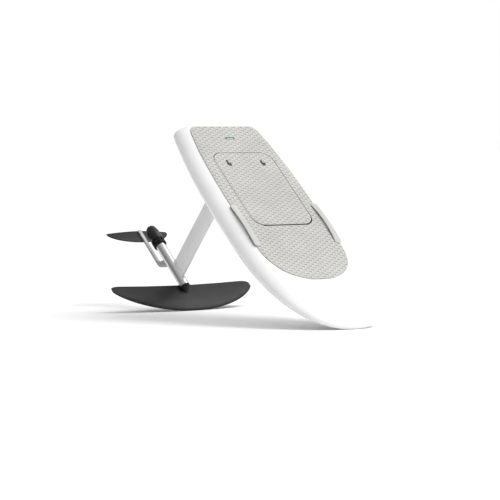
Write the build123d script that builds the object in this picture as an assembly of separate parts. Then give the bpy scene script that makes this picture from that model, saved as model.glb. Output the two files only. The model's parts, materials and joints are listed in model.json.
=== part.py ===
from build123d import *
import math
import os

# An electric hydrofoil board: a foam-stiffened hull with a battery under a hinged hatch, and a mast
# that carries a motor pod, a water jet and two wings. It rests on its nose and on its front wing.
#
# Every piece is drawn in the board's own frame: x runs towards the nose, y to port and z out of the
# deck, with the origin on the deck above the middle of the mast. place() turns the finished pieces
# into the standing pose, where z is up and the origin is under the middle of the whole object.

# ---- driving dimensions, in millimetres and degrees ----
PITCH = 41.346              # how far the deck is tilted when the board stands on nose and wing

TAIL_X = -274.0             # hull
NOSE_X = 1458.0
WIDEST_X = 470.0
HALF_WIDTH = 378.0
TAIL_HALF_WIDTH = 302.0
TAIL_CORNER_R = 42.0
THICKNESS = 118.0
NOSE_THICKNESS = 30.0
RAIL_WIDTH = 110.0          # how far the upper rail's curve reaches in from the side
BILGE_WIDTH = 60.0          # the same for the lower rail
EDGE_SHARE = 0.62           # depth of the widest line, as a share of the thickness
ROCKER_X = 772.0            # the deck is flat up to here, then curves up to the nose
ROCKER_R = 7330.0
TAIL_ROUND = 38.0           # length over which the tail end is rounded off
NOSE_ROUND = 16.0
SKIN = 3.0

PAD_T = 5.0                 # deck pad
PAD_TAIL_X = -235.0
PAD_TIP_X = 1060.0
PAD_SHOULDER_X = 772.0
PAD_HALF = 298.0
GAP = 3.5                   # seam round the hatch

LID_X0 = -1.5               # hatch
LID_X1 = 610.5
LID_HALF = 213.0
LID_R = 75.0
LID_T = 10.0
HINGE_GAP = 9.0             # the seam is wider at the hinges
HINGE_X = LID_X1 + HINGE_GAP / 2
HINGE_Z = 4.0
HINGE_Y = 120.0
HINGE_W = 60.0
KNUCKLE_R = 3.5
HINGE_PIN_R = 1.5
RUNNING = 0.05              # radial clearance of everything that turns on a pin or shaft

LATCH_X = 85.5              # latches
LATCH_Y = 123.0
LATCH_LENGTH = 52.0
LATCH_WIDTH = 27.0
LATCH_DISC_R = 9.0
LATCH_SHAFT_R = 5.0
LATCH_TOP = 7.0
PULL_PIVOT = 5.0            # distance of the pull's pivot from the latch axis
PULL_Z = 9.4
CAM_LENGTH = 48.0
CAM_TOP = -33.0

DISPLAY_X = -130.0          # status light
DISPLAY_LENGTH = 68.0
DISPLAY_WIDTH = 19.0

HANDLE_X0 = 440.0           # side handles
HANDLE_X1 = 778.0
HANDLE_Y0 = 266.0
HANDLE_Y1 = 310.0
HANDLE_WAIST = 10.0         # how much narrower a handle is at its middle, on its inner side
HANDLE_RISE = 17.0
HANDLE_FOOT = 36.0          # length of the feet at its two ends
HANDLE_ARCH = 9.0           # height of the opening under it
GRIP_T = 4.0

WELL_T = 3.0                # battery well
WELL_X0 = 120.0
WELL_X1 = 575.0
WELL_HALF = 172.0
WELL_DEPTH = 98.0
SHELF_X0 = 22.0
SHELF_HALF = 150.0
SHELF_DEPTH = 52.0
LEDGE_Z = -12.0

MAST_CHORD = 132.0          # mast
MAST_T = 17.0
MAST_TOP = -104.0
MAST_FOOT_TOP = -935.0
MAST_BOTTOM = -948.0
BOX_HALF_X = 100.0
BOX_HALF_Y = 55.0
BOX_TOP = -57.0

POD_Z = -984.0              # motor pod
POD_R = 31.0
POD_BORE_R = 28.0
POD_REAR = -240.0
POD_FRONT = 118.0
SHAFT_R = 6.0
SHAFT_REAR = -346.0
SHAFT_FRONT = 12.0

JET_R = 41.0                # water jet
JET_MOUTH_X = -285.0
JET_END_X = -396.0
DUCT_R = 36.0
OUTLET_R = 20.0
IMPELLER_R = 35.4
SLOTS = 12
BLADES = 4
VANES = 5

WING_SPAN_HALF = 520.0      # front wing
WING_Z = -1012.0
WING_LE = 298.0
WING_TE = 80.0
WING_TIP_X = 96.0
WING_T = 0.095              # thickness over chord

STAB_SPAN_HALF = 230.0      # stabiliser
STAB_Z = -1090.0
STAB_LE = -381.0
STAB_TE = -483.0
STAB_DROOP = 26.0

BOOM_WIDTH = 22.0           # tail boom
BOOM_TOP = -1074.0
BOOM_BOTTOM = -1087.0
BOOM_END = -480.0


# ---- small helpers ----
def box(x0, x1, y0, y1, z0, z1):
    """A box between two corners."""
    return Pos((x0 + x1) / 2, (y0 + y1) / 2, (z0 + z1) / 2) * Box(x1 - x0, y1 - y0, z1 - z0)


def rod(x0, x1, radius, y=0.0, z=POD_Z):
    """A cylinder along x."""
    return Pos((x0 + x1) / 2, y, z) * Rot(Y=90) * Cylinder(radius, x1 - x0)


def ring(x0, x1, outer, inner, z=POD_Z):
    """A tube along x."""
    return rod(x0, x1, outer, z=z) - rod(x0, x1, inner, z=z)


def post(x, y, z0, z1, radius):
    """A cylinder along z."""
    return Pos(x, y, (z0 + z1) / 2) * Cylinder(radius, z1 - z0)


def plate(x0, x1, half, radius, z0, z1):
    """A plate with rounded corners, centred on the board's midline."""
    outline = RectangleRounded(x1 - x0, 2 * half, radius)
    return Pos((x0 + x1) / 2, 0, z0) * extrude(outline, z1 - z0)


def both_sides(piece):
    """A starboard piece and its port mirror image."""
    return Part() + [piece, mirror(piece, about=Plane.XZ)]


# ---- hull ----
def half_width(x):
    """Half the hull's width in plan."""
    if x >= WIDEST_X:
        s = (x - WIDEST_X) / (NOSE_X - WIDEST_X)
        return HALF_WIDTH * (1 - s**3.35) ** 0.405
    s = (WIDEST_X - x) / (WIDEST_X - TAIL_X)
    half = HALF_WIDTH - (HALF_WIDTH - TAIL_HALF_WIDTH) * s**2.2
    corner = max(0.0, TAIL_CORNER_R - (x - TAIL_X))
    return half - TAIL_CORNER_R + math.sqrt(TAIL_CORNER_R**2 - corner**2)


def rocker(x):
    """How far the deck has risen at x."""
    run = max(0.0, x - ROCKER_X)
    return ROCKER_R - math.sqrt(ROCKER_R**2 - run**2)


def thickness(x):
    """Hull thickness before its ends are rounded off."""
    s = max(0.0, (x - WIDEST_X) / (NOSE_X - WIDEST_X))
    return THICKNESS - (THICKNESS - NOSE_THICKNESS) * s**2.5


def edge_height(x):
    """Height of the widest line of the hull."""
    return rocker(x) - EDGE_SHARE * thickness(x)


def hull_section(x, skin=0.0):
    """Cross-section at x: flat deck and bottom, with a quarter ellipse above and below each edge."""
    reach = 1.0
    if x - TAIL_X < TAIL_ROUND:
        reach = (x - TAIL_X) / TAIL_ROUND
    elif NOSE_X - x < NOSE_ROUND:
        reach = (NOSE_X - x) / NOSE_ROUND
    fullness = math.sqrt(1 - (1 - reach) ** 2)
    edge = edge_height(x)
    above = EDGE_SHARE * thickness(x) * fullness - skin
    below = (1 - EDGE_SHARE) * thickness(x) * fullness - skin
    half = half_width(x) - skin
    rail = min(RAIL_WIDTH, 0.8 * half)
    bilge = min(BILGE_WIDTH, 0.8 * half)
    deck = half - rail
    floor = half - bilge
    outline = [
        Line((-deck, edge + above), (deck, edge + above)),
        EllipticalCenterArc((deck, edge), rail, above, start_angle=0, arc_size=90),
        EllipticalCenterArc((floor, edge), bilge, below, start_angle=270, arc_size=90),
        Line((floor, edge - below), (-floor, edge - below)),
        EllipticalCenterArc((-floor, edge), bilge, below, start_angle=180, arc_size=90),
        EllipticalCenterArc((-deck, edge), rail, above, start_angle=90, arc_size=90),
    ]
    return Plane(origin=(x, 0, 0), x_dir=(0, 1, 0), z_dir=(1, 0, 0)) * make_face(outline)


def hull_solid(tail_gap, nose_gap, skin=0.0):
    """Loft of the hull, with stations that crowd together towards both ends."""
    tail_steps = [0, 4, 10, 18, 28, 40, 62, 110, 200, 340, 520]
    nose_steps = [0, 4, 11, 22, 38, 62, 95, 140, 205, 290, 400, 540, 720]
    stations = [TAIL_X + tail_gap + step for step in tail_steps]
    stations.append(WIDEST_X)
    stations += [NOSE_X - nose_gap - step for step in reversed(nose_steps)]
    return loft([hull_section(x, skin) for x in stations])


def below_seam():
    """Everything under the joint between the bottom shell and the deck shell."""
    start = 600.0
    curve = Spline([(x, edge_height(x)) for x in (start, 850, 1100, 1300, NOSE_X)])
    end = curve @ 1
    far = NOSE_X + 60
    sides = [
        Line((TAIL_X - 60, curve.start_point().Y), curve @ 0),
        curve,
        Line(end, (far, end.Y)),
        Line((far, end.Y), (far, -300)),
        Line((far, -300), (TAIL_X - 60, -300)),
        Line((TAIL_X - 60, -300), (TAIL_X - 60, curve.start_point().Y)),
    ]
    return extrude(Plane.XZ * make_face(sides), 500, both=True)


def pad_half_outline(side):
    """One side of the deck pad's outline, from its tail edge to its tip."""
    corner = Spline(
        [(PAD_TAIL_X, side * 198), (PAD_TAIL_X + 48, side * 248)],
        tangents=[(0, side), (1, side * 0.2)],
    )
    flank = Spline(
        [
            corner @ 1,
            (-12, side * 276),
            (147, side * 289),
            (297, side * 296),
            (450, side * PAD_HALF),
            (PAD_SHOULDER_X, side * PAD_HALF),
        ],
        tangents=[(1, side * 0.2), (1, 0)],
    )
    length = PAD_TIP_X - PAD_SHOULDER_X
    turns = [math.radians(18 * step) for step in range(6)]
    arc = [
        (
            PAD_SHOULDER_X + length * math.sin(turn) ** 0.87,
            side * PAD_HALF * max(0.0, math.cos(turn)) ** 0.87,
        )
        for turn in turns
    ]
    front = Spline(arc, tangents=[(1, 0), (0, -side)])
    return [corner, flank, front]


def pad_outline():
    tail = Line((PAD_TAIL_X, -198), (PAD_TAIL_X, 198))
    return make_face([tail] + pad_half_outline(1) + pad_half_outline(-1))


def pad_layer():
    """The layer above the deck that the pad fills, from just inside the hull to the pad's top."""
    top = [(x, PAD_T + rocker(x)) for x in (ROCKER_X, 940, 1120)]
    sides = [
        Line((PAD_TAIL_X - 20, PAD_T), top[0]),
        ThreePointArc(*top),
        Line(top[2], (1120, -20)),
        Line((1120, -20), (PAD_TAIL_X - 20, -20)),
        Line((PAD_TAIL_X - 20, -20), (PAD_TAIL_X - 20, PAD_T)),
    ]
    return extrude(Plane.XZ * make_face(sides), 400, both=True)


def stadium(x, y, length_x, length_y, z0, z1):
    """A plate with two round ends, along whichever side is longer."""
    slot = SlotOverall(max(length_x, length_y), min(length_x, length_y))
    turn = 0 if length_x > length_y else 90
    return Pos(x, y, z0) * extrude(Rot(Z=turn) * slot, z1 - z0)


# ---- hatch ----
def lid_plate(grow, z0, z1, front=0.0):
    """A plate of the lid's outline, grown all round and by a further amount at the front."""
    return plate(LID_X0 - grow, LID_X1 + grow + front, LID_HALF + grow, LID_R + grow, z0, z1)


def at_latches(piece):
    """The same piece at both latches."""
    return Part() + [Pos(LATCH_X, side * LATCH_Y, 0) * piece for side in (-1, 1)]


def hinge_leaf(direction, knuckles):
    """A leaf that runs from the hinge pin along x, with knuckles between the given y values."""
    reach = 27.0
    x0, x1 = sorted((HINGE_X, HINGE_X + direction * reach))
    leaf = box(x0, x1, -HINGE_W / 2, HINGE_W / 2, 0, 2)
    clear = KNUCKLE_R + 0.6
    leaf -= box(HINGE_X - clear, HINGE_X + clear, -HINGE_W, HINGE_W, -1, 3)
    for y0, y1 in knuckles:
        barrel = Pos(HINGE_X, (y0 + y1) / 2, HINGE_Z) * Rot(X=90) * Cylinder(KNUCKLE_R, y1 - y0)
        x0, x1 = sorted((HINGE_X, HINGE_X + direction * (clear + 1)))
        leaf += barrel + box(x0, x1, y0, y1, 0, 2)
    bore = Cylinder(HINGE_PIN_R + RUNNING, HINGE_W + 2)
    leaf -= Pos(HINGE_X, 0, HINGE_Z) * Rot(X=90) * bore
    return leaf


def at_hinges(piece):
    return Part() + [Pos(0, side * HINGE_Y, 0) * piece for side in (-1, 1)]


def hinge_pockets(direction):
    """Pockets in the underside of a pad that lies over the hinge leaves on its side of the pin."""
    x0, x1 = sorted((HINGE_X, HINGE_X + direction * 29))
    return at_hinges(box(x0, x1, -HINGE_W / 2 - 1, HINGE_W / 2 + 1, -9, 2.3))


def hatch_pieces():
    """The lid with what moves with it. Each latch's turning parts are separate nodes."""
    third = HINGE_W / 6
    lid_leaf = hinge_leaf(-1, [(-third + 0.3, third - 0.3)])
    bezel = stadium(0, 0, LATCH_LENGTH, LATCH_WIDTH, 0, LATCH_TOP)
    bezel = fillet(bezel.faces().sort_by(Axis.Z)[-1].edges(), 1.5)
    bezel -= post(0, 0, -1, LATCH_TOP + 1, LATCH_DISC_R + 0.3)
    lid = lid_plate(0, -LID_T, 0)
    lid -= plate(LID_X0 + 30, LID_X1 - 30, LID_HALF - 30, LID_R - 30, -LID_T, -5)
    lid -= at_latches(post(0, 0, -LID_T - 1, 1, LATCH_SHAFT_R + RUNNING))
    pad = lid_plate(-1, 0, PAD_T)
    pad -= at_latches(stadium(0, 0, LATCH_LENGTH + 1, LATCH_WIDTH + 1, -1, PAD_T + 1))
    pad -= hinge_pockets(-1)
    return {
        "hatch_lid": lid,
        "lid_pad": pad,
        "hinge_leaves_lid": at_hinges(lid_leaf),
        "latch_bezels": at_latches(bezel),
    }


def latch_rotor(side):
    """Turning disc, shaft and cam. The cam points inboard when the latch is released."""
    rotor = post(0, 0, 0.3, LATCH_TOP + 0.4, LATCH_DISC_R)
    rotor += post(0, 0, CAM_TOP - 9, 0.3, LATCH_SHAFT_R)
    cam = box(-8, 8, -CAM_LENGTH, 8, CAM_TOP - 5, CAM_TOP)
    cam = fillet(cam.edges().filter_by(Axis.Z), 6)
    rotor += Rot(Z=0 if side > 0 else 180) * cam
    for y0 in (-6.4, 4.4):
        rotor += box(PULL_PIVOT - 2, PULL_PIVOT + 2, y0, y0 + 2, LATCH_TOP, PULL_Z + 1.8)
    rotor -= Pos(PULL_PIVOT, 0, PULL_Z) * Rot(X=90) * Cylinder(1.0 + RUNNING, 20)
    return Pos(LATCH_X, side * LATCH_Y, 0) * rotor


def latch_pull(side):
    """A thumb piece that lies on the bezel and lifts on a pin through the disc's two lugs."""
    tongue = Pos(PULL_PIVOT - 13, 0, PULL_Z - 1.4) * extrude(RectangleRounded(18, 14, 5), 2.8)
    tongue = fillet(tongue.faces().sort_by(Axis.Z)[-1].edges(), 1)
    neck = box(PULL_PIVOT - 8, PULL_PIVOT, -4.2, 4.2, PULL_Z - 1.4, PULL_Z + 1.4)
    barrel = Pos(PULL_PIVOT, 0, PULL_Z) * Rot(X=90) * Cylinder(1.8, 8.4)
    pin = Pos(PULL_PIVOT, 0, PULL_Z) * Rot(X=90) * Cylinder(1.0, 12.8)
    return Pos(LATCH_X, side * LATCH_Y, 0) * (tongue + neck + barrel + pin)


# ---- board fittings ----
def battery_well():
    """Tub with a deep bay for the battery and a shallow shelf behind it, and a ledge for the lid."""
    t = WELL_T
    well = lid_plate(GAP + t, LEDGE_Z - t, 0, HINGE_GAP - GAP)
    well -= lid_plate(GAP, LEDGE_Z, 1, HINGE_GAP - GAP)
    well += plate(WELL_X0 - t, WELL_X1 + t, WELL_HALF + t, 23, -WELL_DEPTH - t, LEDGE_Z)
    well += plate(SHELF_X0 - t, WELL_X0 + 40, SHELF_HALF + t, 15, -SHELF_DEPTH - t, LEDGE_Z)
    well -= plate(WELL_X0, WELL_X1, WELL_HALF, 20, -WELL_DEPTH, LEDGE_Z + 1)
    well -= plate(SHELF_X0, WELL_X0 + 37, SHELF_HALF, 12, -SHELF_DEPTH, LEDGE_Z + 1)
    return well


def handle_plan(side):
    """A handle's outline seen from above, as a tall block: round ends, and a waist on its inner side."""
    length = HANDLE_X1 - HANDLE_X0
    middle = (HANDLE_X0 + HANDLE_X1) / 2
    outline = RectangleRounded(length, HANDLE_Y1 - HANDLE_Y0, 20)
    plan = Pos(middle, side * (HANDLE_Y0 + HANDLE_Y1) / 2, -20) * extrude(outline, 60)
    waist_r = ((length / 2) ** 2 + HANDLE_WAIST**2) / (2 * HANDLE_WAIST)
    waist_y = HANDLE_Y0 + HANDLE_WAIST - waist_r
    return plan - post(middle, side * waist_y, -30, 60, waist_r)


def handle(side, hull):
    """Arched side handle: a stiff core whose feet follow the deck, and a soft cover on its top."""
    middle = (HANDLE_X0 + HANDLE_X1) / 2
    start, end = HANDLE_X0 - 10, HANDLE_X1 + 10     # the bar is longer than its plan, which trims it
    foot_start, foot_end = HANDLE_X0 + HANDLE_FOOT, HANDLE_X1 - HANDLE_FOOT
    low = ThreePointArc((start, 1), (middle, HANDLE_RISE - GRIP_T), (end, 1))
    high = ThreePointArc((start, 1 + GRIP_T), (middle, HANDLE_RISE), (end, 1 + GRIP_T))
    under = ThreePointArc((foot_start, -14), (middle, HANDLE_ARCH), (foot_end, -14))
    core = [
        low,
        Line((end, 1), (end, -14)),
        Line((end, -14), (foot_end, -14)),
        under,
        Line((foot_start, -14), (start, -14)),
        Line((start, -14), (start, 1)),
    ]
    cover = [
        low,
        high,
        Line((start, 1), (start, 1 + GRIP_T)),
        Line((end, 1), (end, 1 + GRIP_T)),
    ]
    plan = handle_plan(side)
    core_bar = extrude(Plane.XZ * make_face(core), 400, both=True) & plan
    grip = extrude(Plane.XZ * make_face(cover), 400, both=True) & plan
    return core_bar - hull, grip


def handle_screw_places(side):
    y = side * (HANDLE_Y0 + 20)
    return [(x, y) for x in (HANDLE_X0 + 12, HANDLE_X1 - 12)]


# ---- foils ----
def foil_outline(chord, depth, camber=0.0, points=8):
    """Closed foil section with its nose at x = chord and its tail at x = 0, and a blunt tail edge."""
    stations = [0.5 * (1 - math.cos(math.pi * i / points)) for i in range(points + 1)]

    def half_depth(s):
        wedge = 0.2969 * math.sqrt(s) - 0.126 * s - 0.3516 * s**2 + 0.2843 * s**3 - 0.0985 * s**4
        return 5 * depth * wedge

    def middle(s):
        return camber * 4 * s * (1 - s)

    upper = [(chord * (1 - s), middle(s) + half_depth(s)) for s in reversed(stations)]
    lower = [(chord * (1 - s), middle(s) - half_depth(s)) for s in stations[1:]]
    curve = Spline(upper + lower)
    return make_face([curve, Line(curve @ 1, curve @ 0)])


def foil_loft(half_span, leading, trailing, height, share, camber_share):
    """A wing lofted from tip to tip through foil sections that stand across the span."""
    shares = [0, 0.22, 0.44, 0.62, 0.76, 0.87, 0.94, 0.98]
    sections = []
    for share_y in [-s for s in reversed(shares[1:])] + shares:
        y = share_y * half_span
        chord = leading(y) - trailing(y)
        section = foil_outline(chord, share * chord, camber_share * chord)
        frame = Plane(origin=(trailing(y), y, height(y)), x_dir=(1, 0, 0), z_dir=(0, -1, 0))
        sections.append(frame * section)
    return loft(sections)


def wing_leading(y):
    return WING_TIP_X + (WING_LE - WING_TIP_X) * (1 - (y / WING_SPAN_HALF) ** 2) ** 0.7


def wing_trailing(y):
    s = abs(y) / WING_SPAN_HALF
    return WING_TE - 18 * s**2 + 32 * s**24


def stab_leading(y):
    return STAB_TE - 5 + (STAB_LE - STAB_TE + 5) * (1 - (y / STAB_SPAN_HALF) ** 2) ** 0.62


def stab_trailing(y):
    return STAB_TE - 8 * (y / STAB_SPAN_HALF) ** 2


def front_wing():
    return foil_loft(WING_SPAN_HALF, wing_leading, wing_trailing, lambda y: WING_Z, WING_T, 0.02)


def stabiliser():
    def droop(y):
        return STAB_Z - STAB_DROOP * (y / STAB_SPAN_HALF) ** 2

    return foil_loft(STAB_SPAN_HALF, stab_leading, stab_trailing, droop, 0.1, 0.0)


def mast_bar(grow, z0, z1):
    """The mast's foil section, grown all round, between two heights. Its nose points forward."""
    chord = MAST_CHORD + 2 * grow
    outline = Pos(-chord / 2, 0) * foil_outline(chord, MAST_T + 2 * grow)
    return Pos(0, 0, z0) * extrude(outline, z1 - z0)


# ---- jet ----
def duct_profile(points):
    """A solid of revolution about the pod's axis, from (x, radius) points."""
    outline = Plane.XZ * make_face(Polyline([(x, POD_Z + r) for x, r in points], close=True))
    return revolve(outline, Axis((0, 0, POD_Z), (1, 0, 0)))


def jet_pieces():
    front_plate = 6.0
    intake = rod(JET_MOUTH_X, POD_REAR, JET_R)
    intake -= rod(JET_MOUTH_X - 1, POD_REAR - front_plate, JET_R - 5)
    intake -= rod(JET_MOUTH_X - 1, POD_REAR + 1, SHAFT_R + 3)
    slot = box(JET_MOUTH_X + 7, POD_REAR - front_plate - 5, -5, 5, 0, JET_R + 5)
    for i in range(SLOTS):
        intake -= Pos(0, 0, POD_Z) * Rot(X=i * 360 / SLOTS) * slot
    end = JET_END_X
    outer = [(JET_MOUTH_X, 0), (JET_MOUTH_X, 40.5), (-330, 40), (-352, 38.5), (-368, 36)]
    outer += [(-381, 32.5), (-390, 29), (end, 25), (end, 0)]
    inner = [(JET_MOUTH_X + 1, 0), (JET_MOUTH_X + 1, DUCT_R), (-325, DUCT_R), (-348, 31)]
    inner += [(-376, OUTLET_R), (end - 1, OUTLET_R), (end - 1, 0)]
    duct = duct_profile(inner)
    housing = duct_profile(outer) - duct
    vane = box(-371, -352, -1.25, 1.25, 0, 45)
    vanes = duct_profile([(-374, 0), (-374, 5), (-366, 9), (-350, 11), (-350, 0)])
    for i in range(VANES):
        vanes += Pos(0, 0, POD_Z) * Rot(X=i * 360 / VANES) * vane
    vanes &= duct
    impeller = rod(-330, -292, 13)
    blade = Pos(-311, 0, 24) * Rot(Z=38) * Box(26, 2.4, 28)
    for i in range(BLADES):
        impeller += Pos(0, 0, POD_Z) * Rot(X=i * 360 / BLADES) * blade
    impeller &= rod(-330, -292, IMPELLER_R)
    impeller -= rod(-400, -200, SHAFT_R)
    nut = Pos(-331, 0, POD_Z) * Rot(Y=-90) * extrude(RegularPolygon(10, 6), 10)
    nut -= rod(-400, -200, SHAFT_R)
    return {
        "intake_ring": intake,
        "jet_housing": housing,
        "stator_vanes": vanes,
        "impeller": impeller,
        "impeller_nut": nut,
    }


# ---- pod ----
def pod_pieces():
    tube = ring(POD_REAR, POD_FRONT, POD_R, POD_BORE_R)
    carriers = Part()
    bearings = Part()
    for x in (-175, 0):
        carriers += ring(x, x + 10, POD_BORE_R, 13)
        bearings += ring(x, x + 10, 13, SHAFT_R + RUNNING)
    return {
        "pod_tube": tube,
        "motor_stator": ring(-130, -20, POD_BORE_R, 20),
        "motor_rotor": ring(-125, -25, 19.2, SHAFT_R),
        "drive_shaft": rod(SHAFT_REAR, SHAFT_FRONT, SHAFT_R),
        "bearing_carriers": carriers,
        "bearings": bearings,
        "shaft_seal": ring(POD_REAR, POD_REAR + 10, POD_BORE_R, SHAFT_R + RUNNING),
    }


def wing_connector(wing):
    """Black fairing: a spigot in the pod's front end, then a body that fades out over the wing."""
    circle = Plane(origin=(POD_FRONT, 0, POD_Z), x_dir=(0, 1, 0), z_dir=(1, 0, 0)) * Circle(POD_R)
    middle = Plane(origin=(134, 0, POD_Z - 9), x_dir=(0, 1, 0), z_dir=(1, 0, 0)) * Ellipse(23, 19)
    front = Plane(origin=(156, 0, POD_Z - 20), x_dir=(0, 1, 0), z_dir=(1, 0, 0)) * Ellipse(9, 5)
    body = loft([circle, middle, front]) + rod(90, POD_FRONT, POD_BORE_R)
    above = box(0, 300, -50, 50, WING_Z, 0)
    return (body & above) - wing


def tail_boom():
    """Bar that leaves the pod's underside, sweeps back and then runs parallel to the pod."""
    root = POD_Z - POD_R + 14
    upper = Spline(
        [(-146, root), (-168, -1050), (-206, BOOM_TOP)], tangents=[(-0.1, -1), (-1, 0)]
    )
    lower = Spline(
        [(-86, root), (-112, -1046), (-144, -1076), (-186, BOOM_BOTTOM)],
        tangents=[(-0.2, -1), (-1, 0)],
    )
    sides = [
        upper,
        Line(upper @ 1, (BOOM_END, BOOM_TOP)),
        Line((BOOM_END, BOOM_TOP), (BOOM_END, BOOM_BOTTOM)),
        Line((BOOM_END, BOOM_BOTTOM), lower @ 1),
        lower,
        Line(lower @ 0, upper @ 0),
    ]
    boom = extrude(Plane.XZ * make_face(sides), BOOM_WIDTH / 2, both=True)
    end_edges = boom.edges().filter_by(Axis.Z).group_by(Axis.X)[0]
    boom = fillet(end_edges, 10)
    return boom - rod(POD_REAR - 20, POD_FRONT, POD_R)


def screw(x, y, z0, z1, radius, head_radius, head_height):
    """A screw along z whose head is at z0 and whose tip is at z1."""
    step = head_height if z1 > z0 else -head_height
    low, mid, high = z0, z0 + step, z1
    head = post(x, y, min(low, mid), max(low, mid), head_radius)
    return head + post(x, y, min(mid, high), max(mid, high), radius)


# ---- the whole object ----
def build():
    parts = {}
    hull = hull_solid(1.0, 1.0)
    inside = hull_solid(8.0, 14.0, SKIN)
    shell = hull - inside
    lower_half = below_seam()
    bottom = shell & lower_half
    deck = shell - lower_half
    deck -= lid_plate(GAP + WELL_T, -30, 30, HINGE_GAP - GAP)
    mast_hole = plate(-BOX_HALF_X, BOX_HALF_X, BOX_HALF_Y, 12, -140, -80)
    bottom -= mast_hole

    screws = Part()
    for side, name in ((1, "port"), (-1, "starboard")):
        core, grip = handle(side, hull)
        for x, y in handle_screw_places(side):
            fixing = screw(x, y, 1, -24, 2.5, 4.5, 3)
            core -= fixing
            deck -= fixing
            screws += fixing
        parts["handle_" + name] = core
        parts["handle_grip_" + name] = grip
    parts["handle_screws"] = screws
    parts["hull_bottom_shell"] = bottom
    parts["hull_deck_shell"] = deck
    stringers = both_sides(box(-200, 750, 225, 231, -160, 20))
    parts["hull_stringers"] = stringers & inside
    parts["foam_blocks"] = both_sides(box(150, 600, 242, 325, -95, -27)) + box(
        650, 1200, -180, 180, -45, -6
    )

    parts["battery_well"] = battery_well()
    seal = lid_plate(-3, LEDGE_Z, -LID_T) - lid_plate(-9, LEDGE_Z, -LID_T)
    parts["hatch_seal"] = seal
    parts.update(hatch_pieces())
    third = HINGE_W / 6
    ends = [(-HINGE_W / 2, -third - 0.3), (third + 0.3, HINGE_W / 2)]
    parts["hinge_leaves_deck"] = at_hinges(hinge_leaf(1, ends)) - hull
    pin = Pos(HINGE_X, 0, HINGE_Z) * Rot(X=90) * Cylinder(HINGE_PIN_R, HINGE_W)
    parts["hinge_pins"] = at_hinges(pin)
    for side, name in ((1, "port"), (-1, "starboard")):
        parts["latch_rotor_" + name] = latch_rotor(side)
        parts["latch_pull_" + name] = latch_pull(side)
    parts["latch_strikers"] = both_sides(box(SHELF_X0, SHELF_X0 + 30, 105, 135, -31, -27))

    pad = extrude(Pos(0, 0, -20) * pad_outline(), 60) & pad_layer()
    pad -= lid_plate(GAP, -30, 30, HINGE_GAP - GAP)
    notch = box(HANDLE_X0 - 2, HANDLE_X1 + 2, HANDLE_Y0 - 2, 400, -30, 60)
    notch = fillet(notch.edges().filter_by(Axis.Z).group_by(Axis.Y)[0], 26)
    pad -= both_sides(notch)
    pad -= stadium(DISPLAY_X, 0, DISPLAY_WIDTH + 1, DISPLAY_LENGTH + 1, -10, 20)
    pad -= hinge_pockets(1)
    parts["deck_pad"] = pad - hull - parts["battery_well"]
    display = stadium(DISPLAY_X, 0, DISPLAY_WIDTH, DISPLAY_LENGTH, -3, PAD_T + 0.8)
    pocket = stadium(DISPLAY_X, 0, DISPLAY_WIDTH - 5, DISPLAY_LENGTH - 16, 1, 9)
    parts["display_bezel"] = display - pocket - hull
    lens = stadium(DISPLAY_X, 0, DISPLAY_WIDTH - 5, DISPLAY_LENGTH - 16, 2.6, PAD_T + 0.4)
    parts["display_lens"] = lens
    board = stadium(DISPLAY_X, 0, DISPLAY_WIDTH - 6, DISPLAY_LENGTH - 17, 1, 2.6)
    parts["display_board"] = board

    case = plate(WELL_X0 + 8, WELL_X1 - 8, WELL_HALF - 12, 14, -WELL_DEPTH, -25)
    parts["battery_case"] = case
    parts["battery_cover"] = plate(WELL_X0 + 8, WELL_X1 - 8, WELL_HALF - 12, 14, -25, -21)
    strap = box(335, 360, -90, 90, -21, -14) - box(335, 360, -62, 62, -21, -17)
    parts["battery_handle"] = strap
    parts["battery_plug"] = box(118, 128, -40, 40, -48, -28)
    parts["power_leads"] = rod(112, 118, 4, 15, -38) + rod(112, 118, 4, -15, -38)
    parts["controller_box"] = box(28, 112, -60, 60, -46, -20)
    fins = box(28, 112, -60, 60, -SHELF_DEPTH, -46)
    for i in range(9):
        fins -= box(20, 120, -53.5 + 12 * i, -46.5 + 12 * i, -SHELF_DEPTH + 2, -46)
    parts["controller_heatsink"] = fins

    mast = mast_bar(0, MAST_BOTTOM, MAST_TOP)
    channel = SlotOverall(52, 10)
    mast -= Pos(2, 0, MAST_BOTTOM) * extrude(channel, MAST_TOP - MAST_BOTTOM)
    foot = mast_bar(4, POD_Z, MAST_FOOT_TOP) - rod(-200, 200, POD_R)
    foot -= mast_bar(0, MAST_BOTTOM, MAST_TOP)
    bolts = Part()
    for x in (-42, 40):
        bolts += Pos(x, 0, -941.5) * Rot(X=90) * Cylinder(2.5, MAST_T + 8)
    parts["mast"] = mast - bolts
    parts["mast_foot"] = foot - bolts
    parts["foot_bolts"] = bolts & foot_envelope()
    cables = Part()
    for x in (-13, 2, 17):
        cables += post(x, 0, MAST_BOTTOM, MAST_TOP, 4)
    parts["phase_cables"] = cables
    head = plate(-86, 86, 40, 10, -THICKNESS, -103) - mast_bar(0, -130, MAST_TOP)
    mast_box = plate(-BOX_HALF_X, BOX_HALF_X, BOX_HALF_Y, 12, -THICKNESS, BOX_TOP)
    mast_box -= plate(-86, 86, 40, 10, -THICKNESS - 1, -103)
    mast_bolts = Part()
    for x in (-60, 60):
        for y in (-28, 28):
            bolt = screw(x, y, -THICKNESS + 1, -75, 4, 6.5, 7)
            mast_bolts += bolt
            head -= bolt + post(x, y, -THICKNESS - 1, -THICKNESS + 1, 6.5)
            mast_box -= bolt
    parts["mast_box"] = mast_box
    parts["mast_head"] = head
    parts["mast_bolts"] = mast_bolts
    gasket = mast_bar(7, -THICKNESS - 5, -THICKNESS) - mast_bar(0, -130, MAST_TOP)
    parts["mast_gasket"] = gasket

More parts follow.
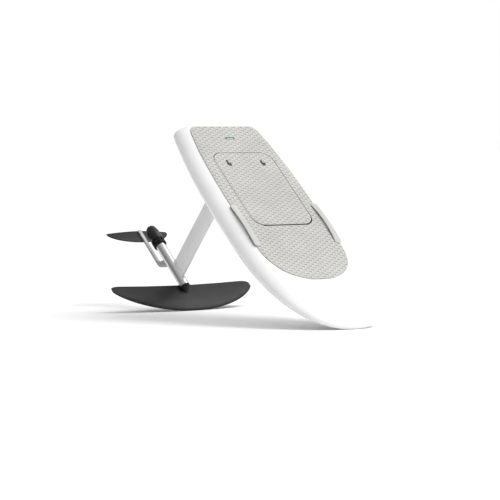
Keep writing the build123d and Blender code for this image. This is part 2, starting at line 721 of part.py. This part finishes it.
    parts.update(pod_pieces())
    parts.update(jet_pieces())
    wing = front_wing()
    connector = wing_connector(wing)
    wing_bolts = Part()
    for x in (126, 141):
        bolt = screw(x, 0, WING_Z - 14, POD_Z - 14, 3, 5, 5)
        wing_bolts += bolt
        wing -= bolt + post(x, 0, WING_Z - 40, WING_Z - 14, 5)
        connector -= bolt + post(x, 0, WING_Z - 40, WING_Z - 14, 5)
    parts["pod_tube"] -= wing
    parts["front_wing"] = wing
    parts["wing_connector"] = connector
    parts["wing_bolts"] = wing_bolts

    boom = tail_boom()
    stab = stabiliser() - box(-500, -300, -BOOM_WIDTH / 2, BOOM_WIDTH / 2, BOOM_BOTTOM, 0)
    stab_bolts = Part()
    for x in (-410, -450):
        bolt = screw(x, 0, STAB_Z - 3, BOOM_TOP - 3, 2.5, 4, 3)
        stab_bolts += bolt
        stab -= bolt + post(x, 0, STAB_Z - 20, STAB_Z - 3, 4)
        boom -= bolt
    parts["tail_boom"] = boom
    parts["stabiliser"] = stab - boom
    parts["stabiliser_bolts"] = stab_bolts
    return parts


def foot_envelope():
    """The mast foot's outline as a full bar, which trims what is flush with its sides."""
    return mast_bar(4, POD_Z, MAST_FOOT_TOP)


def place(parts):
    """Tilt the board into its standing pose, on the floor and centred over the origin."""
    tilted = {name: Rot(Y=PITCH) * piece for name, piece in parts.items()}
    boxes = {name: piece.bounding_box() for name, piece in tilted.items()}
    nose_low = min(boxes["hull_bottom_shell"].min.Z, boxes["hull_deck_shell"].min.Z)
    wing_low = boxes["front_wing"].min.Z
    print("nose stands", round(nose_low - wing_low, 2), "mm above the wing")
    x0 = min(b.min.X for b in boxes.values())
    x1 = max(b.max.X for b in boxes.values())
    z0 = min(b.min.Z for b in boxes.values())
    print("shift", round(-(x0 + x1) / 2, 3), round(-z0, 3))
    shift = Pos(-(x0 + x1) / 2, 0, -z0)
    return {name: shift * piece for name, piece in tilted.items()}


os.makedirs("parts", exist_ok=True)
for name, piece in place(build()).items():
    export_step(piece, f"parts/{name}.step")
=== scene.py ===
import bmesh
import bpy
import json
import math
import numpy as np
from mathutils import Euler, Matrix, Vector


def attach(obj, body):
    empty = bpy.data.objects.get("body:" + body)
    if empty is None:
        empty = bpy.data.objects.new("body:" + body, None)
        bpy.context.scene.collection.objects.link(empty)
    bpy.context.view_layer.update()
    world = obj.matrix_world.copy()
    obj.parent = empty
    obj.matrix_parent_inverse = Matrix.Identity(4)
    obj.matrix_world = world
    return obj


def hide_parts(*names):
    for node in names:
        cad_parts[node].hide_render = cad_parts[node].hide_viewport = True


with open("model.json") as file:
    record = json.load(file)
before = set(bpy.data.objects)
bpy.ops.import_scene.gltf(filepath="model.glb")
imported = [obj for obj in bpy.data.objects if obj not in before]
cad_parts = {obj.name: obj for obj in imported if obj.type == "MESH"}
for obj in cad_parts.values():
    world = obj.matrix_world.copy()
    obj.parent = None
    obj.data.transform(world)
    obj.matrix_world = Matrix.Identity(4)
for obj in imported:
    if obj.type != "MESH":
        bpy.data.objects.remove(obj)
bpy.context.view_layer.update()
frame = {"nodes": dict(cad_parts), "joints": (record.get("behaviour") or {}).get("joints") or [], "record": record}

# The looks of an electric hydrofoil board that stands on its nose and front wing.
# New pieces are drawn in the board's own frame, in metres: x runs towards the nose, y to port and
# z out of the deck, with the origin on the deck above the middle of the mast. The drive shaft runs
# along x, POD_DEPTH under the deck, so its joint gives that frame.
POD_DEPTH = 0.984
SPIN = next(j for j in frame["joints"] if j["name"] == "drive_spin")
FORWARD = Vector(SPIN["axis"]).normalized()
PORT = Vector((0, 1, 0))
UP = FORWARD.cross(PORT)
ORIGIN = Vector(SPIN["pos_m"]) + POD_DEPTH * UP
BOARD = Matrix.Translation(ORIGIN) @ Matrix((FORWARD, PORT, UP)).transposed().to_4x4()
PITCH = math.atan2(-FORWARD.z, FORWARD.x)
BODY_OF = {
    node: body
    for body, nodes in frame["record"]["behaviour"]["bodies"].items()
    for node in nodes
}
SLOT_OF = {part["node"]: part["material_slot"] for part in frame["record"]["subparts"]}

# ---- camera, floor and lights ----
CAMERA_AIM = ORIGIN + Vector((0.0505, 0.043, -0.568))
CAMERA_DISTANCE = 13.51
CAMERA_AZIMUTH = 53.848
CAMERA_ELEVATION = 3.133
CAMERA_ROLL = -0.124
CAMERA_LENS = 164.785
WHITE = (1, 1, 1, 1)
BRIGHT_SIDE = (0.56, 0.76, 0.33)       # the direction in which the room is brightest
BRIGHT_SIDE_LEVEL = 0.95
DARK_SIDE_LEVEL = 0.3
DARK_UNTIL = -0.9                      # cosines to the bright side between which the level rises
BRIGHT_FROM = 0.7
SUN_AZIMUTH = 150
SUN_ELEVATION = 55
SUN_SOFTNESS = 35
SUN_POWER = 1.75
FLOOR_HALF = 60
FLOOR_DROP = 0.0005                    # keeps the floor clear of the points that touch it


def turned(elevation, azimuth, roll=0.0):
    """The rotation of a camera or light that looks from that azimuth and elevation, in degrees."""
    angles = (90 - elevation, roll, azimuth)
    return Euler([math.radians(angle) for angle in angles])


def add_camera():
    data = bpy.data.cameras.new("camera")
    data.lens = CAMERA_LENS
    camera = bpy.data.objects.new("camera", data)
    camera.rotation_euler = turned(CAMERA_ELEVATION, CAMERA_AZIMUTH, CAMERA_ROLL)
    back = camera.rotation_euler.to_matrix() @ Vector((0, 0, 1))
    camera.location = CAMERA_AIM + CAMERA_DISTANCE * back
    bpy.context.scene.collection.objects.link(camera)
    bpy.context.scene.camera = camera


def add_sun():
    data = bpy.data.lights.new("sun", "SUN")
    data.angle = math.radians(SUN_SOFTNESS)
    data.energy = SUN_POWER
    light = bpy.data.objects.new("sun", data)
    light.rotation_euler = turned(SUN_ELEVATION, SUN_AZIMUTH)
    bpy.context.scene.collection.objects.link(light)


def room_level(tree):
    """How bright the room is in a direction, as a node's output."""
    direction = tree.nodes.new("ShaderNodeTexCoord")
    cosine = tree.nodes.new("ShaderNodeVectorMath")
    cosine.operation = "DOT_PRODUCT"
    cosine.inputs[1].default_value = BRIGHT_SIDE
    level = tree.nodes.new("ShaderNodeMapRange")
    level.interpolation_type = "SMOOTHSTEP"
    level.inputs["From Min"].default_value = DARK_UNTIL
    level.inputs["From Max"].default_value = BRIGHT_FROM
    level.inputs["To Min"].default_value = DARK_SIDE_LEVEL
    level.inputs["To Max"].default_value = BRIGHT_SIDE_LEVEL
    tree.links.new(direction.outputs["Generated"], cosine.inputs[0])
    tree.links.new(cosine.outputs["Value"], level.inputs["Value"])
    return level.outputs["Result"]


def add_studio():
    """A white room that is brighter above the nose's port side, and a broad lamp from there.

    The backdrop itself is plain white."""
    world = bpy.data.worlds.new("studio")
    world.use_nodes = True
    tree = world.node_tree
    room = tree.nodes["Background"]
    room.inputs["Color"].default_value = WHITE
    tree.links.new(room_level(tree), room.inputs["Strength"])
    backdrop = tree.nodes.new("ShaderNodeBackground")
    backdrop.inputs["Color"].default_value = WHITE
    path = tree.nodes.new("ShaderNodeLightPath")
    chosen = tree.nodes.new("ShaderNodeMixShader")
    tree.links.new(path.outputs["Is Camera Ray"], chosen.inputs["Fac"])
    tree.links.new(room.outputs[0], chosen.inputs[1])
    tree.links.new(backdrop.outputs[0], chosen.inputs[2])
    tree.links.new(chosen.outputs[0], tree.nodes["World Output"].inputs["Surface"])
    bpy.context.scene.world = world
    add_sun()
    bpy.context.scene.view_settings.view_transform = "Standard"


def add_floor():
    mesh = bpy.data.meshes.new("floor")
    side = FLOOR_HALF
    corners = [(-side, -side, 0), (side, -side, 0), (side, side, 0), (-side, side, 0)]
    mesh.from_pydata(corners, [], [(0, 1, 2, 3)])
    floor = bpy.data.objects.new("floor", mesh)
    floor.location.z = -FLOOR_DROP
    bpy.context.scene.collection.objects.link(floor)
    floor.data.materials.append(surface("floor_paper", grey(0.93), grey(0.95), 3, (0.7, 0.8)))


# ---- materials ----
NOISE_LOW = 0.3            # the middle of the range that a noise value covers
NOISE_HIGH = 0.7
NOISE_DETAIL = 4.0
NOISE_ROUGHNESS = 0.6
PLY_GRAIN = (1, 8, 8)      # stretches of the drift: long along the board, or along the mast
MAST_GRAIN = (1, 1, 0.05)
POD_GRAIN = (0.1, 1, 1)
# the grey by which painted shade darkens the pads' grooves
GROOVE_PAINTED_SHADE = 0.36


def board_coordinates(tree, stretch=(1, 1, 1)):
    """Object coordinates turned by the board's pitch, as they have to be on a CAD node."""
    coordinates = tree.nodes.new("ShaderNodeTexCoord")
    mapping = tree.nodes.new("ShaderNodeMapping")
    mapping.inputs["Rotation"].default_value = (0, -PITCH, 0)
    stretched = tree.nodes.new("ShaderNodeVectorMath")
    stretched.operation = "MULTIPLY"
    stretched.inputs[1].default_value = stretch
    tree.links.new(coordinates.outputs["Object"], mapping.inputs["Vector"])
    tree.links.new(mapping.outputs["Vector"], stretched.inputs[0])
    return stretched.outputs[0]


def noise(tree, vector, scale):
    node = tree.nodes.new("ShaderNodeTexNoise")
    node.inputs["Scale"].default_value = scale
    node.inputs["Detail"].default_value = NOISE_DETAIL
    node.inputs["Roughness"].default_value = NOISE_ROUGHNESS
    tree.links.new(vector, node.inputs["Vector"])
    return node.outputs["Fac"]


def mapped(tree, value, low, high):
    """The middle of a noise value's range, spread from low to high."""
    node = tree.nodes.new("ShaderNodeMapRange")
    node.inputs["From Min"].default_value = NOISE_LOW
    node.inputs["From Max"].default_value = NOISE_HIGH
    node.inputs["To Min"].default_value = low
    node.inputs["To Max"].default_value = high
    tree.links.new(value, node.inputs["Value"])
    return node.outputs["Result"]


def blended(tree, factor, first, second):
    """A colour between two colours."""
    node = tree.nodes.new("ShaderNodeMix")
    node.data_type = "RGBA"
    node.inputs[6].default_value = (*first, 1)
    node.inputs[7].default_value = (*second, 1)
    tree.links.new(factor, node.inputs["Factor"])
    return node.outputs[2]


def bumped(tree, height, distance):
    node = tree.nodes.new("ShaderNodeBump")
    node.inputs["Distance"].default_value = distance
    node.inputs["Strength"].default_value = 1
    tree.links.new(height, node.inputs["Height"])
    return node.outputs["Normal"]


def surface(name, dark, light, scale, rough, bump=0.0, bump_scale=None, stretch=(1, 1, 1), **fixed):
    """A material whose colour and roughness drift between two values, with a fine relief.

    scale is the drift's, in 1/m; bump is the relief's height in metres at bump_scale."""
    material = bpy.data.materials.new(name)
    material.use_nodes = True
    tree = material.node_tree
    shader = tree.nodes["Principled BSDF"]
    vector = board_coordinates(tree, stretch)
    drift = noise(tree, vector, scale)
    colour = blended(tree, mapped(tree, drift, 0, 1), dark, light)
    tree.links.new(colour, shader.inputs["Base Color"])
    tree.links.new(mapped(tree, drift, rough[1], rough[0]), shader.inputs["Roughness"])
    if bump:
        grain = noise(tree, vector, bump_scale)
        tree.links.new(bumped(tree, grain, bump), shader.inputs["Normal"])
    for socket, value in fixed.items():
        shader.inputs[socket.replace("_", " ")].default_value = value
    return material


def paint_groove_shade(material, shade):
    """Paints shade into the grooves: multiplies a material's colour by a grey shade where the groove attribute is
    1, in place of the shade that falls in them.
    """
    tree = material.node_tree
    shader = tree.nodes["Principled BSDF"]
    attribute = tree.nodes.new("ShaderNodeAttribute")
    attribute.attribute_name = "groove"
    multiplied = tree.nodes.new("ShaderNodeMix")
    multiplied.data_type = "RGBA"
    multiplied.blend_type = "MULTIPLY"
    multiplied.inputs[7].default_value = (*shade, 1)
    colour = shader.inputs["Base Color"].links[0].from_socket
    tree.links.new(attribute.outputs["Fac"], multiplied.inputs["Factor"])
    tree.links.new(colour, multiplied.inputs[6])
    tree.links.new(multiplied.outputs[2], shader.inputs["Base Color"])


def grey(level, warmth=0.0):
    return (level * (1 + warmth), level, level * (1 - warmth))


def make_materials():
    """The materials by name: one for each of the record's slots, and two for new pieces."""
    gloss = {"Coat_Weight": 0.6, "Coat_Roughness": 0.05}
    foam = ((0.505, 0.5, 0.48), (0.56, 0.555, 0.53), 5, (0.75, 0.9), 0.0002, 1300)
    recipes = {
        "gelcoat": (grey(0.83), grey(0.87), 6, (0.16, 0.24), 0.00002, 90),
        "ply": ((0.5, 0.34, 0.19), (0.66, 0.47, 0.28), 40, (0.5, 0.7), 0.0002, 300, PLY_GRAIN),
        "foam": (grey(0.8), grey(0.9), 60, (0.8, 0.95), 0.0006, 350),
        "well": (grey(0.02), grey(0.035), 30, (0.5, 0.65), 0.0002, 900),
        "lid": (grey(0.1), grey(0.14), 30, (0.5, 0.62), 0.0002, 900),
        "eva": foam,
        # the same foam, which gets painted shade in its grooves below
        "embossed": foam,
        "seal": (grey(0.015), grey(0.025), 40, (0.6, 0.75), 0.0001, 900),
        "handle_core": (grey(0.2, 0.03), grey(0.25, 0.03), 30, (0.5, 0.6), 0.0002, 1200),
        "hinge_black": (grey(0.01), grey(0.02), 60, (0.3, 0.45), 0.00003, 900),
        "stainless": (grey(0.5), grey(0.62), 60, (0.22, 0.36), 0.00003, 900),
        "latch_black": (grey(0.008), grey(0.014), 60, (0.25, 0.4), 0.00003, 1500),
        "latch_metal": (grey(0.2), grey(0.28), 60, (0.3, 0.42), 0.00003, 1200),
        "lens": ((0.01, 0.22, 0.2), (0.02, 0.32, 0.29), 80, (0.1, 0.2), 0.00002, 600),
        "circuit": ((0.01, 0.08, 0.03), (0.02, 0.14, 0.06), 200, (0.3, 0.5), 0.0001, 900),
        "battery": (grey(0.03), grey(0.05), 30, (0.45, 0.6), 0.0002, 900),
        "webbing": (grey(0.012), grey(0.03), 400, (0.7, 0.9), 0.0004, 900),
        "cable": ((0.75, 0.22, 0.02), (0.85, 0.3, 0.03), 60, (0.4, 0.55), 0.0001, 700),
        "mast_alloy": (grey(0.78), grey(0.84), 14, (0.34, 0.42), 0.00002, 700, MAST_GRAIN),
        "pod_alloy": (grey(0.52), grey(0.6), 14, (0.22, 0.3), 0.00001, 600, POD_GRAIN),
        "boom_satin": (grey(0.3), grey(0.36), 14, (0.36, 0.46), 0.00001, 600),
        "motor": ((0.35, 0.2, 0.1), (0.5, 0.3, 0.16), 90, (0.35, 0.5), 0.0002, 900),
        "jet_black": (grey(0.003), grey(0.006), 20, (0.26, 0.36), 0.00003, 500),
        "intake_black": (grey(0.002), grey(0.005), 30, (0.5, 0.65), 0.0001, 900),
        "carbon": (grey(0.009), grey(0.013), 9, (0.42, 0.5), 0.00003, 500),
    }
    fixed = {
        "gelcoat": gloss,
        "lens": gloss,
        "hinge_black": {"Metallic": 0.5},
        "stainless": {"Metallic": 1},
        "latch_metal": {"Metallic": 1},
        "mast_alloy": {"Metallic": 0.25},
        "pod_alloy": {"Metallic": 1},
        "boom_satin": {"Metallic": 0.3},
        "motor": {"Metallic": 0.8},
        "jet_black": {"Specular_IOR_Level": 0.4},
        "intake_black": {"Specular_IOR_Level": 0.2},
        "carbon": {"Specular_IOR_Level": 0.2},
    }
    materials = {name: surface(name, *recipe, **fixed.get(name, {})) for name, recipe in recipes.items()}
    # painted shade in the embossed pads' grooves
    paint_groove_shade(materials["embossed"], grey(GROOVE_PAINTED_SHADE))
    return materials


def dress_nodes():
    """Every carried-over CAD node takes the material of its slot."""
    for name, slot in SLOT_OF.items():
        mesh = frame["nodes"][name].data
        mesh.materials.clear()
        mesh.materials.append(MATERIALS[slot])


# ---- building pieces ----
WELD = 0.000002            # points of a CAD mesh this close together are one point


def new_piece(name, mesh, node, material):
    """A piece drawn in the board's frame that rides on a CAD node's body and stands for it."""
    piece = bpy.data.objects.new(name, mesh)
    bpy.context.scene.collection.objects.link(piece)
    piece.matrix_world = BOARD
    mesh.materials.clear()
    mesh.materials.append(material)
    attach(piece, BODY_OF[node])
    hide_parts(node)
    return piece


def cad_mesh(node):
    """A closed copy of a CAD node's mesh, in the board's frame."""
    mesh = frame["nodes"][node].data.copy()
    mesh.transform(BOARD.inverted())
    edit = bmesh.new()
    edit.from_mesh(mesh)
    bmesh.ops.remove_doubles(edit, verts=edit.verts, dist=WELD)
    edit.to_mesh(mesh)
    edit.free()
    return mesh


def made_solid(name, mesh, kind, settings):
    """The mesh after one modifier."""
    worker = bpy.data.objects.new(name, mesh)
    bpy.context.scene.collection.objects.link(worker)
    modifier = worker.modifiers.new(kind, kind)
    for key, value in settings.items():
        setattr(modifier, key, value)
    evaluated = worker.evaluated_get(bpy.context.evaluated_depsgraph_get())
    result = bpy.data.meshes.new_from_object(evaluated)
    bpy.data.objects.remove(worker)
    return result


# ---- deck pads ----
CELL = 0.0296              # pitch of the embossed pattern, which repeats on a triangular lattice
CELL_STEPS = 12            # mesh steps per repeat
STEP = CELL / CELL_STEPS
ROW = STEP * math.sqrt(3) / 2
EMBOSS = 0.0012            # depth of the pattern
ON_SIDE = 1.2              # points this many pattern depths down lie on a pad's side
PATTERN_START = -0.3
PATTERN_HALF = 12 * CELL_STEPS * ROW
PATTERN_MARGIN = 0.02
PAD_TOP = 0.005
SLAB = 0.04
PAD_SHARP = math.radians(50)
ROCKER_X = 0.772           # from here on, the hull's own dimensions, which the pads follow
ROCKER_R = 7.33
TAIL_X = -0.274
NOSE_X = 1.458
WIDEST_X = 0.47
HALF_WIDTH = 0.378
NOSE_FULLNESS = 3.35
NOSE_BLUNTNESS = 0.405
TAIL_NARROWING = 0.076
TAIL_CURVE = 2.2
RAIL_WIDTH = 0.11
THICKNESS = 0.118
NOSE_THINNING = 0.088
THINNING_CURVE = 2.5
EDGE_SHARE = 0.62          # share of the thickness above the rail's widest line

# The grooves of one repeat, as lattice steps (along the board, across it): a long stroke two steps
# wide, a short one back from its foot, and a stroke along the board between them.
LONG_STROKE = {(-k, k) for k in range(6)} | {(1 - k, k) for k in range(6)}
SHORT_STROKE = {(0, -k) for k in range(6)} | {(1, -k) for k in range(6)}
GROOVES = LONG_STROKE | SHORT_STROKE | {(i, 2) for i in range(1, 7)}
GROOVE_STEPS = {(i % CELL_STEPS, j % CELL_STEPS) for i, j in GROOVES}


def deck_drop(x, y):
    """How far the deck has rolled down towards the rail at a point."""
    behind = np.clip((WIDEST_X - x) / (WIDEST_X - TAIL_X), 0, 1)
    ahead = np.clip((x - WIDEST_X) / (NOSE_X - WIDEST_X), 0, 1)
    front = HALF_WIDTH * (1 - ahead**NOSE_FULLNESS) ** NOSE_BLUNTNESS
    half = front - TAIL_NARROWING * behind**TAIL_CURVE
    above = EDGE_SHARE * (THICKNESS - NOSE_THINNING * ahead**THINNING_CURVE)
    over = np.clip((np.abs(y) - (half - RAIL_WIDTH)) / RAIL_WIDTH, 0, 1)
    return above * (1 - np.sqrt(1 - over**2))


def pad_height(x, y):
    """Height of a pad's face, which follows the deck's rocker and its fall to the rails."""
    run = np.maximum(0, x - ROCKER_X)
    return PAD_TOP + ROCKER_R - np.sqrt(ROCKER_R**2 - run**2) - deck_drop(x, y)


def groove_mask(rows, columns):
    """Whether each point of the slab's grid lies in a groove."""
    j, i = np.mgrid[0:rows, 0:columns]
    lattice_i = i - (j - j % 2) // 2
    mask = np.zeros(i.shape, bool)
    for step_i, step_j in GROOVE_STEPS:
        mask |= (lattice_i % CELL_STEPS == step_i) & (j % CELL_STEPS == step_j)
    return mask


def grid_triangles(index):
    """Triangles of a grid whose odd rows are shifted forward by half a step."""
    faces = []
    for row in range(len(index) - 1):
        a, b = index[row, :-1], index[row, 1:]
        c, d = index[row + 1, :-1], index[row + 1, 1:]
        pairs = ((a, b, c), (b, d, c)) if row % 2 == 0 else ((a, b, d), (a, d, c))
        for first, second, third in pairs:
            faces += list(zip(first.tolist(), second.tolist(), third.tolist()))
    return faces


def embossed_slab(x0, x1):
    """A closed slab under the embossed face, larger than the pad that is cut from it."""
    rows = int(2 * PATTERN_HALF / ROW) + 1
    columns = int((x1 - x0) / STEP) + 1
    j, i = np.mgrid[0:rows, 0:columns]
    x = x0 + STEP * (i + 0.5 * (j % 2))
    y = (j - rows // 2) * ROW
    face = pad_height(x, y)
    top = face - EMBOSS * groove_mask(rows, columns)
    points = np.concatenate([
        np.stack([x, y, top], -1).reshape(-1, 3),
        np.stack([x, y, face - SLAB], -1).reshape(-1, 3),
    ])
    count = rows * columns
    index = np.arange(count).reshape(rows, columns)
    faces = grid_triangles(index)
    faces += [(a + count, c + count, b + count) for a, b, c in faces]
    rim = [*index[0, :], *index[1:, -1], *index[-1, -2::-1], *index[-2:0:-1, 0]]
    for here, there in zip(rim, rim[1:] + rim[:1]):
        faces.append((int(there), int(here), int(here) + count, int(there) + count))
    mesh = bpy.data.meshes.new("slab")
    mesh.from_pydata(points.tolist(), [], faces)
    return mesh


def mark_grooves(mesh):
    """Stores how deep in the embossing each point lies, for the material's painted shade in the grooves."""
    points = np.empty(len(mesh.vertices) * 3)
    mesh.vertices.foreach_get("co", points)
    points = points.reshape(-1, 3)
    depth = (pad_height(points[:, 0], points[:, 1]) - points[:, 2]) / EMBOSS
    depth = np.where(depth < ON_SIDE, np.clip(depth, 0, 1), 0)
    attribute = mesh.attributes.new("groove", "FLOAT", "POINT")
    attribute.data.foreach_set("value", depth.astype(np.float32))


def add_pad(node):
    """The CAD pad with its face embossed, and the depth of its grooves stored for their painted shade."""
    cutter = bpy.data.objects.new("cutter", cad_mesh(node))
    bpy.context.scene.collection.objects.link(cutter)
    along = [v.co.x for v in cutter.data.vertices]
    # The pattern starts at the same lattice point on both pads, so that it runs on across the seam.
    repeats = math.floor((min(along) - PATTERN_MARGIN - PATTERN_START) / CELL)
    slab = embossed_slab(PATTERN_START + CELL * repeats, max(along) + PATTERN_MARGIN)
    cut = {"operation": "INTERSECT", "solver": "MANIFOLD", "object": cutter}
    mesh = made_solid(node, slab, "BOOLEAN", cut)
    bpy.data.objects.remove(cutter)
    # the groove depths that carry the painted shade
    mark_grooves(mesh)
    mesh.shade_smooth()
    mesh.set_sharp_from_angle(angle=PAD_SHARP)
    piece = new_piece("embossed_" + node, mesh, node, MATERIALS["embossed"])


# ---- hard parts with softened edges ----
HARD_EDGE = 0.0015       # widths of the rounded edges
GRIP_EDGE = 0.0018
BOOM_EDGE = 0.0025
SMALL_EDGE = 0.0005
BEVELLED_FROM = math.radians(40)
HARD_SHARP = math.radians(35)


def add_softened(node, width, segments=3, look=None):
    """A CAD node's shape with its edges rounded over, in place of the node."""
    bevel = {
        "width": width,
        "segments": segments,
        "limit_method": "ANGLE",
        "angle_limit": BEVELLED_FROM,
    }
    mesh = made_solid(node, cad_mesh(node), "BEVEL", bevel)
    mesh.shade_smooth()
    mesh.set_sharp_from_angle(angle=HARD_SHARP)
    material = MATERIALS[look or SLOT_OF[node]]
    return new_piece("soft_edged_" + node, mesh, node, material)


MATERIALS = make_materials()
add_camera()
add_studio()
add_floor()
dress_nodes()
for node in ("deck_pad", "lid_pad"):
    add_pad(node)
for node in ("handle_port", "handle_starboard", "mast_foot"):
    add_softened(node, HARD_EDGE)
add_softened("tail_boom", BOOM_EDGE, 4, "boom_satin")
for node in ("handle_grip_port", "handle_grip_starboard"):
    add_softened(node, GRIP_EDGE)
LATCH_NODES = ("latch_bezels", "latch_rotor_port", "latch_rotor_starboard")
LIGHT_NODES = ("display_bezel", "display_lens")
for node in LATCH_NODES + LIGHT_NODES:
    add_softened(node, SMALL_EDGE, 2)
